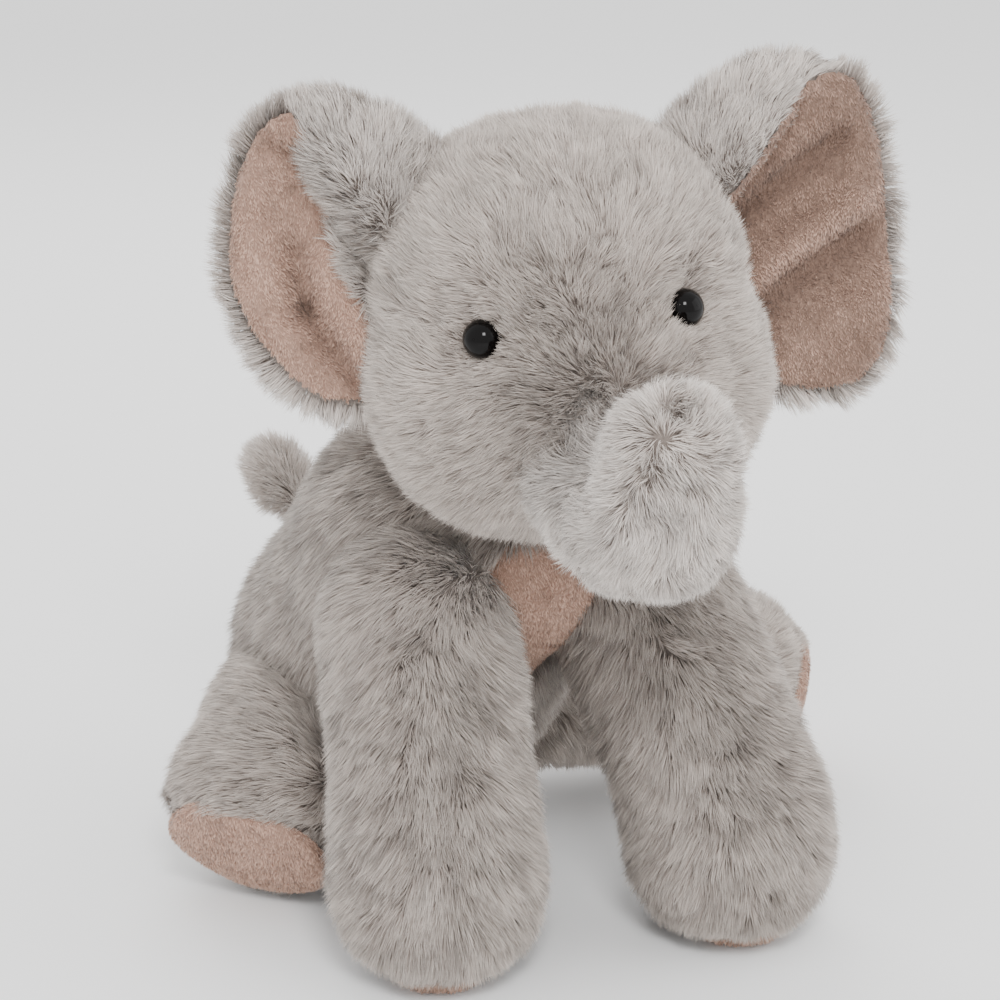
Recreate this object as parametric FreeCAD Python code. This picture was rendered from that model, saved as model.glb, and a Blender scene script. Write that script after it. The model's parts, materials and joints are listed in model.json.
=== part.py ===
import FreeCAD, Part
import math
import os

os.makedirs("parts", exist_ok=True)

# Sitting plush elephant. Millimetres, +Z up, -Y is the way it faces.
# The origin is the centre of the flat seat on the floor.

V = FreeCAD.Vector

# driving dimensions
GAP = 0.3                 # seam and fill clearance
SKIN = 4.5                # pile fabric, backing to mean pile surface
LIMB_CLEAR = 1.2          # round a limb's root ball

HEAD_CENTRE = V(4, -76, 169)
HEAD_HALF = (55.0, 51.0, 56.5)
HEAD_YAW = -12.0
HEAD_ROLL = -5.0
HEAD_KEEP = 57.3          # torso stays outside this radius
GUSSET_HALF = 15.0

NECK_IN = 57.9
NECK_OUT = 61.0
NECK_ANGLE = 12.0
NECK_WAY = V(-0.1, 0, -1)    # from the head down to the shoulders
NECK_ROOM = 61.8

EYE_R = 5.0
EYE_ANGLE = 33.0
EYE_Z = 11.0
EYE_SEAT = 47.5
SHANK_R = 1.5
SHANK_LEN = 9.0
WASHER_R = 6.0
WASHER_T = 1.6

TRUNK_ROOT = V(2, -36, -18)
TRUNK_R = 24.0
TRUNK_PATH = [V(2, -36, -18), V(4, -50, -27), V(7, -66, -32), V(10, -80, -26), V(12, -85, -14)]
TRUNK_RADII = [24.0, 22.0, 20.0, 18.0, 16.5]
TIP_PATH = [V(12, -85, -13), V(12.3, -85.5, -9), V(12.5, -85.5, -5)]
TIP_RADII = [16.3, 16.0, 15.0]

EAR_OUTLINE = [(40, 36), (52, 56), (66, 70), (80, 65), (92, 42), (96, 18), (91, -4), (79, -18), (63, -18), (48, -8)]
EAR_DISH_CENTRE = (70.0, -62.0, 22.0)
EAR_DISH_R = 76.0
EAR_BACK_T = 3.4
EAR_LINING_T = 2.0
EAR_CLEAR = 58.2

SHOULDERS = {"left": V(30, -70, 88), "right": V(-36, -70, 88)}
FEET = {"left": V(46, -103, 0), "right": V(-41, -98, 0)}
SHOULDER_R = 27.0
FORELEG_RADII = [SHOULDER_R, 26.5, 27.5, 26.0, 17.5]
FORE_FILL_GAP = 1.0       # the foot narrows fast, so its filling stands further off
FORE_SOLE_R = 17.5
SOLE_T = 3.0
FORE_SWING = (-8.0, 32.0)

HIPS = {"left": V(28, 8, 38), "right": V(-48, 4, 36)}
HIND_FEET = {"left": V(92, 3, 29), "right": V(-65, -30, 27)}
HIND_SOLE_WAY = {"left": V(0.9, -0.25, -0.36), "right": V(-0.64, -0.46, -0.61)}
HIP_R = 27.0
HIND_FOOT_R = 26.5
HINDLEG_RADII = [HIP_R, 25.5, HIND_FOOT_R, 24.5, 20.0]
HIND_SWING = (-15.0, 5.0)

POUCH_CENTRE = V(-12, 31, 29)
POUCH_R = 15.0

TAIL_ROOT = V(-15, 44, 75)
TAIL_ROOM = 8.2               # the hole round the root that lets the tail wag
TAIL_PATH = [V(-15, 44, 75), V(-20, 52, 81), V(-25, 59, 86)]
TUFT_PATH = [V(-25.7, 60.0, 86.8), V(-28, 63, 89), V(-30.5, 65.5, 92.5), V(-32, 66.5, 96)]

# torso rings: height, centre x, centre y, half width, half depth
TORSO = [
    (0.0, 0.0, 0.0, 20.0, 20.0),
    (4.0, -2.0, 1.0, 27.0, 28.0),
    (14.0, -7.0, 5.0, 36.0, 40.0),
    (28.0, -12.0, 8.0, 42.0, 48.0),
    (48.0, -15.0, 7.0, 46.0, 54.0),
    (68.0, -14.0, -4.0, 46.0, 57.0),
    (88.0, -10.0, -25.0, 44.0, 58.0),
    (106.0, -8.0, -38.0, 42.0, 50.0),
    (122.0, -7.0, -42.0, 36.0, 42.0),
    (134.0, -6.0, -44.0, 24.0, 29.0),
    (140.0, -6.0, -45.0, 12.0, 14.0),
]


def ring(centre, normal, radius):
    """A circle as a closed wire, always started on the same side."""
    across = V(1, 0, 0)
    if abs(normal.dot(across)) > 0.9:
        across = V(0, 0, 1)
    side = normal.cross(across)
    side.normalize()
    ahead = side.cross(normal)
    ahead.normalize()
    points = []
    for i in range(12):
        a = math.radians(30 * i)
        points.append(centre + ahead * (radius * math.cos(a)) + side * (radius * math.sin(a)))
    curve = Part.BSplineCurve()
    curve.interpolate(points, PeriodicFlag=True)
    return Part.Wire(curve.toShape())


def loft(wires):
    return Part.makeLoft(wires, True, False)


def unit(vector):
    copy = V(vector)
    copy.normalize()
    return copy


def tube(path, radii, start_dome=True, end_dome=True, flat_end=None):
    """A soft tube along a path. Each end is a dome, or stays flat."""
    rings = []
    last = len(path) - 1
    first_way = unit(path[1] - path[0])
    last_way = unit(path[last] - path[last - 1])
    if start_dome:
        for a in (78, 58, 38, 18):
            back = radii[0] * math.sin(math.radians(a))
            rings.append((path[0] - first_way * back, first_way, radii[0] * math.cos(math.radians(a))))
    for i, point in enumerate(path):
        way = unit(path[min(i + 1, last)] - path[max(i - 1, 0)])
        if i == last and flat_end is not None:
            way = flat_end
        rings.append((point, way, radii[i]))
    if end_dome:
        for a in (18, 38, 58, 78):
            ahead = radii[last] * math.sin(math.radians(a))
            rings.append((path[last] + last_way * ahead, last_way, radii[last] * math.cos(math.radians(a))))
    return loft([ring(*item) for item in rings])


def shrunk(path, radii, by, trim_end=False):
    """The same tube, smaller all round."""
    points = [V(p) for p in path]
    if trim_end:
        points[-1] = points[-1] - unit(points[-1] - points[-2]) * by
    return points, [r - by for r in radii]


def slab(x_low, x_high, y_low=-400.0, y_high=400.0, z_low=-400.0, z_high=400.0):
    return Part.makeBox(x_high - x_low, y_high - y_low, z_high - z_low, V(x_low, y_low, z_low))


def ball(radius, centre=V(0, 0, 0)):
    return Part.makeSphere(radius, centre)


def prism(points, direction):
    wire = Part.makePolygon(points + [points[0]])
    return Part.Face(wire).extrude(direction)


def fan_yz(pivot, radius, half_width, low, high, reach=150.0):
    """Room for a limb that swings about X. Angles are above level, forward is -Y."""
    corners = [V(pivot)]
    for angle, sign in ((high, 1), (low, -1)):
        a = math.radians(angle)
        way = V(0, -math.cos(a), math.sin(a))
        up = V(0, math.sin(a), math.cos(a))
        near = pivot + up * (radius * sign)
        pair = [near, near + way * reach]
        corners += pair if sign > 0 else pair[::-1]
    shift = V(-half_width, 0, 0)
    return prism([c + shift for c in corners], V(2 * half_width, 0, 0))


def fan_xy(pivot, radius, half_height, low, high, reach=150.0):
    """Room for a limb that swings about Z. Angles are from +X, anticlockwise."""
    corners = [V(pivot)]
    for angle, sign in ((high, 1), (low, -1)):
        a = math.radians(angle)
        way = V(math.cos(a), math.sin(a), 0)
        side = V(-math.sin(a), math.cos(a), 0)
        near = pivot + side * (radius * sign)
        pair = [near, near + way * reach]
        corners += pair if sign > 0 else pair[::-1]
    shift = V(0, 0, -half_height)
    return prism([c + shift for c in corners], V(0, 0, 2 * half_height))


def half_space(point, normal):
    """A big block on the side of the plane that the normal points to."""
    block = Part.makeBox(600, 600, 300, V(-300, -300, 0))
    block.Placement = FreeCAD.Placement(point, FreeCAD.Rotation(V(0, 0, 1), normal))
    return block


def largest(shape):
    return max(shape.Solids, key=lambda solid: solid.Volume)


def save(shape, node):
    if shape.ShapeType == "Compound" and len(shape.Solids) == 1:
        shape = shape.Solids[0]
    print(node, shape.ShapeType, len(shape.Solids), shape.isValid(), round(shape.Volume / 1000, 2))
    shape.exportStep("parts/" + node + ".step")


def head_place():
    """Where the head's own frame sits in the part's frame."""
    yaw = FreeCAD.Rotation(V(0, 0, 1), HEAD_YAW)
    roll = FreeCAD.Rotation(V(0, 1, 0), HEAD_ROLL)
    return FreeCAD.Placement(HEAD_CENTRE, yaw.multiply(roll))


def placed(shape):
    moved = shape.copy()
    moved.Placement = head_place()
    return moved


def ellipsoid(half):
    grown = FreeCAD.Matrix()
    grown.scale(V(*half))
    return ball(1.0).transformGeometry(grown)


def eye_frame(side):
    """Seat point and outward direction of an eye, in the head's frame."""
    a = math.radians(EYE_ANGLE)
    across = math.sqrt(EYE_SEAT ** 2 - EYE_Z ** 2)
    seat = V(side * across * math.sin(a), -across * math.cos(a), EYE_Z)
    return seat, unit(seat)


def make_head():
    outer = ellipsoid(HEAD_HALF)
    inner = ellipsoid([h - SKIN for h in HEAD_HALF])
    fill = ellipsoid([h - SKIN - GAP for h in HEAD_HALF])
    room = ball(TRUNK_R + LIMB_CLEAR, TRUNK_ROOT)
    room = room.fuse(fan_yz(TRUNK_ROOT, TRUNK_R + LIMB_CLEAR, TRUNK_R + 1.0, -48.0, -16.0, 40.0))
    shell = outer.cut(inner).cut(room)
    fill = fill.cut(room)
    for side, name in ((1, "left"), (-1, "right")):
        seat, way = eye_frame(side)
        dome = ball(EYE_R * 1.12, seat - way * (EYE_R * 0.5)).common(
            Part.makeCylinder(EYE_R, 20, seat, way))
        shank = Part.makeCylinder(SHANK_R, SHANK_LEN, seat - way * SHANK_LEN, way)
        pocket = Part.makeCylinder(EYE_R + GAP, 20, seat - way * GAP, way)
        bore = Part.makeCylinder(SHANK_R + 0.1, 20, seat - way * 20, way)
        washer_top = seat - way * 3.4
        washer = Part.makeCylinder(WASHER_R, WASHER_T, washer_top, way * -1).cut(bore)
        nook = Part.makeCylinder(WASHER_R + GAP, SHANK_LEN, washer_top + way * GAP, way * -1)
        shell = shell.cut(pocket).cut(bore).cut(nook)
        fill = fill.cut(pocket).cut(bore).cut(nook)
        save(placed(dome.fuse(shank).removeSplitter()), "eye_" + name)
        save(placed(washer), "eye_washer_" + name)
    middle = slab(-GUSSET_HALF, GUSSET_HALF)
    chin_box = slab(-GUSSET_HALF, GUSSET_HALF, z_high=-30.0 - GAP)
    save(placed(shell.common(slab(GUSSET_HALF + GAP, 200))), "head_side_left")
    save(placed(shell.common(slab(-200, -GUSSET_HALF - GAP))), "head_side_right")
    save(placed(shell.common(middle).common(slab(-50, 50, z_low=-30.0))), "head_gusset")
    save(placed(shell.common(chin_box)), "chin_gusset")
    save(placed(fill), "head_stuffing")


def make_trunk():
    outer = tube(TRUNK_PATH, TRUNK_RADII, end_dome=False)
    path, radii = shrunk(TRUNK_PATH, TRUNK_RADII, SKIN)
    inner = tube(path, radii, end_dome=False)
    path, radii = shrunk(TRUNK_PATH, TRUNK_RADII, SKIN + GAP)
    fill = tube(path, radii, end_dome=False)
    shell = outer.cut(inner)
    end = TRUNK_PATH[-1]
    way = unit(TRUNK_PATH[-1] - TRUNK_PATH[-2])
    cap_room = half_space(end - way * GAP, way)
    shell = shell.cut(cap_room)
    fill = fill.cut(half_space(end - way * (SKIN + GAP), way))
    cut_left = half_space(TRUNK_ROOT + V(GAP / 2, 0, 0), unit(V(1, 0.19, 0)))
    cut_right = half_space(TRUNK_ROOT - V(GAP / 2, 0, 0), unit(V(-1, -0.19, 0)))
    save(placed(shell.common(cut_left)), "trunk_left_panel")
    save(placed(shell.common(cut_right)), "trunk_right_panel")
    save(placed(fill), "trunk_stuffing")
    tip = tube(TIP_PATH, TIP_RADII, start_dome=False)
    tip = tip.common(half_space(end + way * GAP, way))
    save(placed(tip), "trunk_tip")


def ear_outline(side, grow):
    middle = V(EAR_DISH_CENTRE[0], 0, EAR_DISH_CENTRE[2])
    points = []
    for x, z in EAR_OUTLINE:
        point = V(x, 0, z)
        point = point + unit(point - middle) * grow
        points.append(V(side * point.x, -40, point.z))
    curve = Part.BSplineCurve()
    curve.interpolate(points, PeriodicFlag=True)
    return Part.Face(Part.Wire(curve.toShape())).extrude(V(0, 90, 0))


def make_ears():
    for side, name in ((1, "left"), (-1, "right")):
        centre = V(side * EAR_DISH_CENTRE[0], EAR_DISH_CENTRE[1], EAR_DISH_CENTRE[2])
        back_shell = ball(EAR_DISH_R, centre).cut(ball(EAR_DISH_R - EAR_BACK_T, centre))
        front_r = EAR_DISH_R - EAR_BACK_T - GAP
        lining_shell = ball(front_r, centre).cut(ball(front_r - EAR_LINING_T, centre))
        back = back_shell.common(ear_outline(side, 0.0)).cut(ball(EAR_CLEAR))
        lining = lining_shell.common(ear_outline(side, -4.0)).cut(ball(EAR_CLEAR))
        save(placed(back), "ear_back_" + name)
        save(placed(lining), "ear_lining_" + name)


def foreleg_path(name):
    top = SHOULDERS[name]
    foot = FEET[name]
    across = foot - top
    return [
        top,
        V(top.x + across.x * 0.4, top.y + across.y * 0.5, 59),
        V(top.x + across.x * 0.8, top.y + across.y * 0.85, 33),
        foot + V(0, 0, 14),
        foot + V(0, 0, SOLE_T + GAP),
    ]


def leg_tube(path, radii, by):
    """A leg that ends in a flat foot."""
    points, smaller = shrunk(path, radii, by, trim_end=by > 0)
    return tube(points, smaller, end_dome=False, flat_end=unit(path[-1] - path[-2]))


def make_forelegs():
    for side, name in ((1, "left"), (-1, "right")):
        path = foreleg_path(name)
        shell = leg_tube(path, FORELEG_RADII, 0.0).cut(leg_tube(path, FORELEG_RADII, SKIN))
        fill = leg_tube(path, FORELEG_RADII, SKIN + FORE_FILL_GAP)
        seam = unit(V(side, 0, 0.22))
        middle = path[1]
        outward = half_space(middle + seam * (GAP / 2), seam)
        inward = half_space(middle - seam * (GAP / 2), seam * -1)
        save(shell.common(outward), "foreleg_outer_" + name)
        save(shell.common(inward), "foreleg_inner_" + name)
        save(fill, "foreleg_stuffing_" + name)
        save(Part.makeCylinder(FORE_SOLE_R, SOLE_T, FEET[name]), "forefoot_sole_" + name)


def hindleg_path(name):
    hip = HIPS[name]
    foot = HIND_FEET[name]
    way = unit(HIND_SOLE_WAY[name])
    return [
        hip,
        hip + (foot - hip) * 0.55 + V(0, 0, 1),
        foot,
        foot + way * 9,
        foot + way * 15,
    ]


def make_hindlegs():
    for name in ("left", "right"):
        path = hindleg_path(name)
        way = unit(HIND_SOLE_WAY[name])
        floor = half_space(V(0, 0, 0.2), V(0, 0, 1))
        shell = leg_tube(path, HINDLEG_RADII, 0.0).common(floor)
        shell = shell.cut(leg_tube(path, HINDLEG_RADII, SKIN))
        fill = leg_tube(path, HINDLEG_RADII, SKIN + GAP)
        side = unit((path[2] - path[0]).cross(V(0, 0, 1)))
        if side.x * (1 if name == "left" else -1) < 0:
            side = side * -1
        outward = half_space(path[1] + side * (GAP / 2), side)
        inward = half_space(path[1] - side * (GAP / 2), side * -1)
        save(shell.common(outward), "hindleg_outer_" + name)
        save(shell.common(inward), "hindleg_inner_" + name)
        save(fill, "hindleg_stuffing_" + name)
        sole = Part.makeCylinder(HINDLEG_RADII[-1], SOLE_T, path[-1] + way * GAP, way)
        save(sole.common(floor), "hindfoot_sole_" + name)


def make_tail():
    sleeve = tube(TAIL_PATH, [6.0, 5.2, 5.0], end_dome=False)
    way = unit(TAIL_PATH[-1] - TAIL_PATH[-2])
    sleeve = sleeve.cut(half_space(TAIL_PATH[-1], way))
    save(sleeve, "tail_sleeve")
    save(tube(TUFT_PATH, [5.5, 8.0, 9.5, 9.0], start_dome=False), "tail_tuft")


def make_neck():
    shell = ball(NECK_OUT, HEAD_CENTRE).cut(ball(NECK_IN, HEAD_CENTRE))
    spread = 80 * math.tan(math.radians(NECK_ANGLE))
    cone = Part.makeCone(0, spread, 80, HEAD_CENTRE, NECK_WAY)
    save(shell.common(cone), "neck_stuffing")


def limb_rooms():
    """Everything the torso has to keep clear of, in any pose."""
    rooms = [ball(HEAD_KEEP, HEAD_CENTRE)]
    spread = 80 * math.tan(math.radians(NECK_ANGLE + 1.5))
    cone = Part.makeCone(0, spread, 80, HEAD_CENTRE, NECK_WAY)
    rooms.append(ball(NECK_ROOM, HEAD_CENTRE).common(cone))
    rest = math.degrees(math.atan2(-30.0, 16.0))
    for pivot in SHOULDERS.values():
        rooms.append(ball(SHOULDER_R + LIMB_CLEAR, pivot))
        rooms.append(fan_yz(pivot, SHOULDER_R + LIMB_CLEAR, SHOULDER_R + 1.0,
                            rest + FORE_SWING[0] - 1, rest + FORE_SWING[1] + 1))
    for name, hip in HIPS.items():
        foot = HIND_FEET[name]
        rooms.append(ball(HIP_R + LIMB_CLEAR, hip))
        rest = math.degrees(math.atan2(foot.y - hip.y, foot.x - hip.x))
        rooms.append(fan_xy(V(hip.x, hip.y, 33), HIP_R + LIMB_CLEAR, 33.5,
                            rest + HIND_SWING[0], rest + HIND_SWING[1]))
    rooms.append(ball(TAIL_ROOM, TAIL_ROOT))
    return rooms


def torso_solid(by, floor):
    wires = []
    for z, x, y, half_x, half_y in TORSO:
        points = []
        for i in range(16):
            a = math.radians(22.5 * i)
            points.append(V(x + (half_x - by) * math.cos(a), y + (half_y - by) * math.sin(a), z))
        curve = Part.BSplineCurve()
        curve.interpolate(points, PeriodicFlag=True)
        wires.append(Part.Wire(curve.toShape()))
    return loft(wires).common(half_space(V(0, 0, floor), V(0, 0, 1)))


def make_torso():
    rooms = limb_rooms()
    shell = torso_solid(0.0, 0.0).cut(torso_solid(SKIN, SKIN))
    fill = torso_solid(SKIN + GAP, SKIN + GAP)
    for room in rooms:
        shell = shell.cut(room)
        fill = fill.cut(room)
    fill = fill.cut(ball(POUCH_R + GAP, POUCH_CENTRE))
    front = unit(V(0, -1, -0.6))
    corner = V(0, -10, 0)
    belly = half_space(corner + front * (GAP / 2), front)
    back = half_space(corner - front * (GAP / 2), front * -1)
    save(largest(shell.common(belly)), "belly_panel")
    rear = shell.common(back)
    save(rear.common(slab(-8 + GAP / 2, 300)), "torso_back_left")
    save(rear.common(slab(-300, -8 - GAP / 2)), "torso_back_right")
    save(largest(fill), "torso_stuffing")
    save(ball(POUCH_R, POUCH_CENTRE), "pellet_pouch")


make_head()
make_trunk()
make_ears()
make_forelegs()
make_hindlegs()
make_tail()
make_neck()
make_torso()
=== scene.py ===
import json
import math
import bpy
import bmesh
import numpy as np
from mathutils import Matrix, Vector


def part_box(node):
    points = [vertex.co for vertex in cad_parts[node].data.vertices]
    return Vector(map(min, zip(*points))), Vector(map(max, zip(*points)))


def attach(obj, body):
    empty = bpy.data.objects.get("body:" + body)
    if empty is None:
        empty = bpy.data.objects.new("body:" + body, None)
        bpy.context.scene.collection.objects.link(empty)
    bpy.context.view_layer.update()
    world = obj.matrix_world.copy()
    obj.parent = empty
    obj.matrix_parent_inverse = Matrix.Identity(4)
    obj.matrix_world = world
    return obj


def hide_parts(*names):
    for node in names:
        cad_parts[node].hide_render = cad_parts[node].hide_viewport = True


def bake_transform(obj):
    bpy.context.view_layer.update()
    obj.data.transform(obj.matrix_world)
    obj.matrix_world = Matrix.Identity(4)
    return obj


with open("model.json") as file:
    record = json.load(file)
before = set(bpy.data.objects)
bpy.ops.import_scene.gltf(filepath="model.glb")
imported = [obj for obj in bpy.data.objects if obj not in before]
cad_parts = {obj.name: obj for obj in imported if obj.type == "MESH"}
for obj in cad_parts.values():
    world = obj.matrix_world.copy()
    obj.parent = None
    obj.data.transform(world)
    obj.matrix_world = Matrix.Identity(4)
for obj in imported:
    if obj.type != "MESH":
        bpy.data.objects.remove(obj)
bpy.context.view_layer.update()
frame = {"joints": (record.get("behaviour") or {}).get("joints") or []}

# A sitting plush elephant: soft sewn skins, with real strands of pile rooted on them.
# Working units are millimetres in the row frame; meshes are written in metres.
MM = 0.001
rng = np.random.default_rng(418)
DENSITY = 1.0
SIDES = {"left": 1, "right": -1}


# ---------------------------------------------------------------- the frame

def joint(name):
    return next(j for j in frame["joints"] if j["name"] == name)


def joint_at(name):
    return np.array(joint(name)["pos_m"]) / MM


def box_centre(node):
    low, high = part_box(node)
    return (np.array(low) + np.array(high)) / 2 / MM


def unit(v):
    v = np.asarray(v, float)
    return v / np.maximum(np.linalg.norm(v, axis=-1, keepdims=True), 1e-9)


def rise(x):
    """0 below 0, 1 above 1, and smooth between."""
    x = np.clip(x, 0, 1)
    return x * x * (3 - 2 * x)


# The head's own frame: +X to its left, -Y out of its face, +Z to its crown.
HEAD = joint_at("head_turn")
HEAD_X = unit(joint("head_nod")["axis"])
HEAD_Y = unit(np.cross([0, 0, 1], HEAD_X))
HEAD_Z = np.cross(HEAD_X, HEAD_Y)
HEAD_R = np.stack([HEAD_X, HEAD_Y, HEAD_Z], axis=1)


def head_to_row(p):
    return HEAD + np.asarray(p, float) @ HEAD_R.T


def row_to_head(p):
    return (np.asarray(p, float) - HEAD) @ HEAD_R


# ---------------------------------------------------------------- materials

def linear(r, g, b):
    """Linear colour from screen values of 0 to 255."""
    return tuple(((c / 255 + 0.055) / 1.055) ** 2.4 for c in (r, g, b))


def material(name, roughness, specular, sheen=0.0):
    m = bpy.data.materials.new(name)
    m.use_nodes = True
    shader = m.node_tree.nodes["Principled BSDF"]
    shader.inputs["Roughness"].default_value = roughness
    shader.inputs["Specular IOR Level"].default_value = specular
    shader.inputs["Sheen Weight"].default_value = sheen
    shader.inputs["Sheen Roughness"].default_value = 0.5
    return m, m.node_tree.nodes, m.node_tree.links, shader


def ramp_node(nodes, stops):
    ramp = nodes.new("ShaderNodeValToRGB")
    first, last = ramp.color_ramp.elements[0], ramp.color_ramp.elements[1]
    first.position, first.color = stops[0][0], (*stops[0][1], 1)
    last.position, last.color = stops[-1][0], (*stops[-1][1], 1)
    for place, colour in stops[1:-1]:
        ramp.color_ramp.elements.new(place).color = (*colour, 1)
    return ramp


def mix_node(nodes, links, blend, factor, a, b):
    mix = nodes.new("ShaderNodeMix")
    mix.data_type = "RGBA"
    mix.blend_type = blend
    mix.inputs["Factor"].default_value = factor
    links.new(a, mix.inputs["A"])
    if isinstance(b, tuple):
        mix.inputs["B"].default_value = (*b, 1)
    else:
        links.new(b, mix.inputs["B"])
    return mix


def math_node(nodes, links, operation, value, source):
    node = nodes.new("ShaderNodeMath")
    node.operation = operation
    node.inputs[1].default_value = value
    links.new(source, node.inputs[0])
    return node.outputs[0]


def pile_material(name, root, middle, tip, warm, sheen=0.25):
    """Pile strands. In the strand's own UV map, v runs from root to tip and u is the strand's tone."""
    m, nodes, links, shader = material(name, roughness=0.85, specular=0.15, sheen=sheen)
    uv = nodes.new("ShaderNodeUVMap")
    uv.uv_map = "OFBake"
    split = nodes.new("ShaderNodeSeparateXYZ")
    links.new(uv.outputs["UV"], split.inputs[0])
    # Each strand runs darker at its root and lighter at its tip: painted shade of the pile's depth.
    along = ramp_node(nodes, [(0.0, root), (0.5, middle), (1.0, tip)])
    links.new(split.outputs["Y"], along.inputs["Fac"])
    tone = ramp_node(nodes, [(0.0, (0.45,) * 3), (0.5, (1.0,) * 3), (1.0, (1.4,) * 3)])
    links.new(split.outputs["X"], tone.inputs["Fac"])
    toned = mix_node(nodes, links, "MULTIPLY", 1.0, along.outputs["Color"], tone.outputs["Color"])
    # A strand's tone also picks how much of the warmer fibre it has.
    spread = math_node(nodes, links, "MULTIPLY", 37.0, split.outputs["X"])
    part = math_node(nodes, links, "FRACT", 0.0, spread)
    tint = mix_node(nodes, links, "MIX", 0.0, toned.outputs["Result"], warm)
    links.new(math_node(nodes, links, "MULTIPLY", 0.3, part), tint.inputs["Factor"])
    links.new(tint.outputs["Result"], shader.inputs["Base Color"])
    return m


def cloth_material(name, dark, light, scale=900.0, bump=0.25, sheen=0.4, blotch=60.0):
    """Velour or fabric backing: blotches, a fine nap and a soft sheen."""
    m, nodes, links, shader = material(name, roughness=0.92, specular=0.12, sheen=sheen)
    place = nodes.new("ShaderNodeTexCoord")
    wide = nodes.new("ShaderNodeTexNoise")
    fine = nodes.new("ShaderNodeTexNoise")
    for texture, size, detail in ((wide, blotch, 3.0), (fine, scale, 4.0)):
        texture.inputs["Scale"].default_value = size
        texture.inputs["Detail"].default_value = detail
        links.new(place.outputs["Object"], texture.inputs["Vector"])
    blend = nodes.new("ShaderNodeMix")
    blend.inputs["Factor"].default_value = 0.55
    links.new(wide.outputs["Fac"], blend.inputs["A"])
    links.new(fine.outputs["Fac"], blend.inputs["B"])
    ramp = ramp_node(nodes, [(0.3, dark), (0.7, light)])
    links.new(blend.outputs["Result"], ramp.inputs["Fac"])
    links.new(ramp.outputs["Color"], shader.inputs["Base Color"])
    lift = nodes.new("ShaderNodeBump")
    lift.inputs["Strength"].default_value = bump
    lift.inputs["Distance"].default_value = 0.0006
    links.new(fine.outputs["Fac"], lift.inputs["Height"])
    links.new(lift.outputs["Normal"], shader.inputs["Normal"])
    return m


def eye_material():
    """Polished black plastic with a faint unevenness."""
    m, nodes, links, shader = material("eye_gloss_black", roughness=0.08, specular=0.14)
    fine = nodes.new("ShaderNodeTexNoise")
    fine.inputs["Scale"].default_value = 300.0
    ramp = ramp_node(nodes, [(0.2, (0.001, 0.001, 0.001)), (0.8, (0.004, 0.003, 0.003))])
    links.new(fine.outputs["Fac"], ramp.inputs["Fac"])
    links.new(ramp.outputs["Color"], shader.inputs["Base Color"])
    return m


def floor_material():
    m, nodes, links, shader = material("pale_floor", roughness=0.9, specular=0.2)
    shader.inputs["Base Color"].default_value = (0.95, 0.95, 0.95, 1)
    return m


M_PILE = pile_material("grey_pile", linear(124, 113, 106), linear(168, 157, 149), linear(204, 196, 188),
                       linear(172, 154, 142))
M_PALE = pile_material("pale_pile", linear(142, 131, 124), linear(184, 175, 168), linear(218, 212, 206),
                       linear(190, 175, 165))
M_NAP = pile_material("beige_nap", linear(142, 112, 96), linear(176, 144, 127), linear(202, 172, 155),
                      linear(176, 138, 118))
M_SKIN = cloth_material("grey_backing", linear(104, 95, 89), linear(138, 128, 121), scale=1400.0)
M_BEIGE = cloth_material("beige_velour", linear(138, 109, 94), linear(172, 141, 125))
# A darker copy of the beige velour for the left ear's lining: painted shade, because that ear lies in its own
# shade.
M_BEIGE_SHADED = cloth_material("beige_velour_painted_shade", linear(110, 88, 77), linear(147, 121, 106))
M_EYE = eye_material()


# ---------------------------------------------------------------- meshes

def new_mesh(name, verts, faces, mat, uvs=None, normals=None):
    mesh = bpy.data.meshes.new(name)
    verts = np.asarray(verts, np.float32)
    faces = np.asarray(faces, np.int32)
    n, sides = faces.shape
    mesh.vertices.add(len(verts))
    mesh.vertices.foreach_set("co", (verts * MM).ravel())
    mesh.loops.add(n * sides)
    mesh.loops.foreach_set("vertex_index", faces.ravel())
    mesh.polygons.add(n)
    mesh.polygons.foreach_set("loop_start", np.arange(0, n * sides, sides, dtype=np.int32))
    mesh.polygons.foreach_set("use_smooth", np.ones(n, bool))
    if uvs is not None:
        layer = mesh.uv_layers.new(name="OFBake")
        layer.data.foreach_set("uv", uvs[faces.ravel()].astype(np.float32).ravel())
    mesh.update(calc_edges=True)
    if normals is not None:
        mesh.normals_split_custom_set_from_vertices(normals.astype(np.float32))
    mesh.materials.append(mat)
    obj = bpy.data.objects.new(name, mesh)
    bpy.context.collection.objects.link(obj)
    return obj


def arrays(obj):
    """Vertices in millimetres, triangles and vertex normals of a mesh object."""
    mesh = obj.data
    mesh.calc_loop_triangles()
    verts = np.empty(len(mesh.vertices) * 3, np.float32)
    mesh.vertices.foreach_get("co", verts)
    tris = np.empty(len(mesh.loop_triangles) * 3, np.int32)
    mesh.loop_triangles.foreach_get("vertices", tris)
    verts = verts.reshape(-1, 3).astype(float) / MM
    tris = tris.reshape(-1, 3)
    normals = np.zeros_like(verts)
    face = np.cross(verts[tris[:, 1]] - verts[tris[:, 0]], verts[tris[:, 2]] - verts[tris[:, 0]])
    for k in range(3):
        np.add.at(normals, tris[:, k], face)
    return verts, tris, unit(normals)


def put_verts(obj, verts):
    obj.data.vertices.foreach_set("co", (verts * MM).astype(np.float32).ravel())
    obj.data.update()


def apply_modifiers(obj):
    graph = bpy.context.evaluated_depsgraph_get()
    mesh = bpy.data.meshes.new_from_object(obj.evaluated_get(graph), depsgraph=graph)
    obj.modifiers.clear()
    obj.data = mesh


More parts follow.
